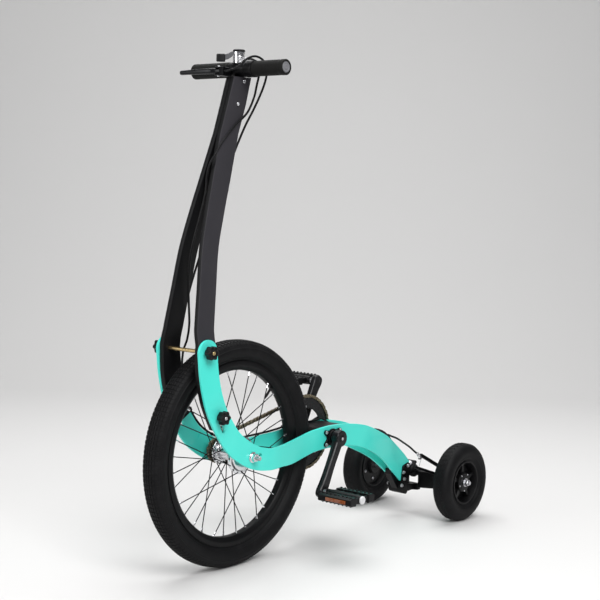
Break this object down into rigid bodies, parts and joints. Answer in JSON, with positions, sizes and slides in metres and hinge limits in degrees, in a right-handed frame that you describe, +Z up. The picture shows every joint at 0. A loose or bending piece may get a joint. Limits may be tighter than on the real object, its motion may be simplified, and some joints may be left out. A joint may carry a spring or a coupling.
{
  "type": "standing bicycle",
  "caption": "Ride-standing bicycle: large driven front wheel between curved side plates, folding twin-post handlebar, cranks behind the wheel, leaning truck with small rear wheels",
  "frame": {"origin": "on the floor, midway between the front of the front tyre and the back of the rear tyres, on the middle plane", "axes": "+X to the rider's left, -Y forward, +Z up"},
  "size_m": [0.402, 1.069, 1.15],
  "materials": {
    "mint_paint": "gloss mint paint",
    "black_paint": "satin black powder coat",
    "black_metal": "black anodised or painted aluminium",
    "post_black": "satin black coated planks",
    "tyre_rubber": "black tyre rubber",
    "grip_rubber": "soft black grip rubber",
    "bushing_rubber": "black elastomer",
    "black_plastic": "black plastic",
    "steel": "bright zinc or nickel plated steel",
    "chrome": "polished chrome",
    "hub_alloy": "polished aluminium",
    "chain_steel": "dark brown oiled steel",
    "brass": "bare brass coloured rod",
    "reflector_orange": "clear orange plastic"
  },
  "bodies": {
    "frame": {"left_frame_plate": "mint_paint", "right_frame_plate": "mint_paint", "bottom_bracket_shell": "black_paint", "left_bracket_flange": "black_paint", "right_bracket_flange": "black_paint", "bridge_cover": "black_plastic", "truck_bracket": "black_paint", "kingpin": "steel", "upper_bushing": "bushing_rubber", "lower_bushing": "bushing_rubber", "front_axle": "steel", "left_axle_nut": "chrome", "right_axle_nut": "chrome", "gear_selector": "black_plastic", "fold_rod": "brass", "left_clamp_bolt": "steel", "right_clamp_bolt": "steel", "chain": "chain_steel", "brake_cable": "black_plastic", "shift_cable": "black_plastic"},
    "front_wheel": {"front_tyre": "tyre_rubber", "front_rim": "black_metal", "front_hub": "hub_alloy"},
    "sprocket": {"hub_sprocket": "chain_steel"},
    "cranks": {"crank_spindle": "steel", "left_crank": "black_metal", "right_crank": "black_metal", "chainring": "black_metal"},
    "left_pedal_body": {"left_pedal": "black_plastic", "left_pedal_reflector": "reflector_orange"},
    "right_pedal_body": {"right_pedal": "black_plastic", "right_pedal_reflector": "reflector_orange"},
    "truck": {"axle_beam": "black_paint", "left_rear_axle": "steel", "right_rear_axle": "steel", "brake_anchor": "black_paint", "barrel_adjuster": "chrome"},
    "left_rear_wheel": {"left_rear_tyre": "tyre_rubber", "left_rear_rim": "black_plastic", "brake_drum": "steel"},
    "right_rear_wheel": {"right_rear_tyre": "tyre_rubber", "right_rear_rim": "black_plastic"},
    "brake_arm_body": {"brake_arm": "black_paint"},
    "handlebar": {"left_post": "post_black", "right_post": "post_black", "upper_post_bolt": "chrome", "lower_post_bolt": "chrome", "stem_clamp": "black_metal", "handlebar_tube": "black_metal", "left_grip": "grip_rubber", "right_grip": "grip_rubber", "brake_lever_bracket": "black_metal", "shifter_body": "chrome"},
    "brake_lever_body": {"brake_lever": "black_metal"},
    "shift_lever_body": {"shift_lever": "chrome"},
    "upper_left_knob_body": {"upper_left_knob": "black_plastic"},
    "upper_right_knob_body": {"upper_right_knob": "black_plastic"},
    "lower_left_knob_body": {"lower_left_knob": "black_plastic"},
    "lower_right_knob_body": {"lower_right_knob": "black_plastic"}
  },
  "joints": [
    {"name": "front_wheel_spin", "type": "hinge", "parent": "frame", "child": "front_wheel", "pos_m": [0, -0.2785, 0.256], "axis": [1, 0, 0], "continuous": true},
    {"name": "crank_spin", "type": "hinge", "parent": "frame", "child": "cranks", "pos_m": [0, 0.0322, 0.256], "axis": [1, 0, 0], "continuous": true},
    {"name": "sprocket_spin", "type": "hinge", "parent": "frame", "child": "sprocket", "pos_m": [0, -0.2785, 0.256], "axis": [1, 0, 0], "continuous": true},
    {"name": "left_pedal_spin", "type": "hinge", "parent": "cranks", "child": "left_pedal_body", "pos_m": [0.102, -0.0491, 0.14202], "axis": [1, 0, 0], "continuous": true},
    {"name": "right_pedal_spin", "type": "hinge", "parent": "cranks", "child": "right_pedal_body", "pos_m": [-0.102, 0.1135, 0.36998], "axis": [1, 0, 0], "continuous": true},
    {"name": "truck_lean", "type": "hinge", "parent": "frame", "child": "truck", "pos_m": [0, 0.4275, 0.11], "axis": [0, 0.7604, 0.6494], "range_deg": [-15, 15], "stiffness_Nm_per_rad": 150, "deforming": ["upper_bushing", "lower_bushing", "brake_cable"]},
    {"name": "left_rear_wheel_spin", "type": "hinge", "parent": "truck", "child": "left_rear_wheel", "pos_m": [0.1457, 0.4345, 0.1], "axis": [1, 0, 0], "continuous": true},
    {"name": "right_rear_wheel_spin", "type": "hinge", "parent": "truck", "child": "right_rear_wheel", "pos_m": [-0.1457, 0.4345, 0.1], "axis": [1, 0, 0], "continuous": true},
    {"name": "brake_arm_swing", "type": "hinge", "parent": "truck", "child": "brake_arm_body", "pos_m": [0.0945, 0.4115, 0.1128], "axis": [-1, 0, 0], "range_deg": [0, 2.7]},
    {"name": "handlebar_fold", "type": "hinge", "parent": "frame", "child": "handlebar", "pos_m": [0, -0.4255, 0.501], "axis": [-1, 0, 0], "range_deg": [0, 70], "deforming": ["shift_cable", "brake_cable"]},
    {"name": "brake_lever_pull", "type": "hinge", "parent": "handlebar", "child": "brake_lever_body", "pos_m": [-0.02, -0.3125, 1.1], "axis": [0, 0, -1], "range_deg": [0, 15], "stiffness_Nm_per_rad": 0.5},
    {"name": "shift_lever_turn", "type": "hinge", "parent": "handlebar", "child": "shift_lever_body", "pos_m": [0, -0.2705, 1.14], "axis": [0, 0, 1], "range_deg": [0, 40]},
    {"name": "upper_left_knob_turn", "type": "hinge", "parent": "frame", "child": "upper_left_knob_body", "pos_m": [0.0658, -0.4255, 0.501], "axis": [1, 0, 0], "range_deg": [0, 360]},
    {"name": "upper_right_knob_turn", "type": "hinge", "parent": "frame", "child": "upper_right_knob_body", "pos_m": [-0.0658, -0.4255, 0.501], "axis": [1, 0, 0], "range_deg": [0, 360]},
    {"name": "lower_left_knob_turn", "type": "hinge", "parent": "frame", "child": "lower_left_knob_body", "pos_m": [0.0658, -0.386, 0.358], "axis": [1, 0, 0], "range_deg": [0, 360]},
    {"name": "lower_right_knob_turn", "type": "hinge", "parent": "frame", "child": "lower_right_knob_body", "pos_m": [-0.0658, -0.386, 0.358], "axis": [1, 0, 0], "range_deg": [0, 360]}
  ],
  "couplings": [
    {"joint": "sprocket_spin", "follows": "crank_spin", "ratio": 3.6667},
    {"joint": "brake_arm_swing", "follows": "brake_lever_pull", "ratio": 0.18}
  ]
}
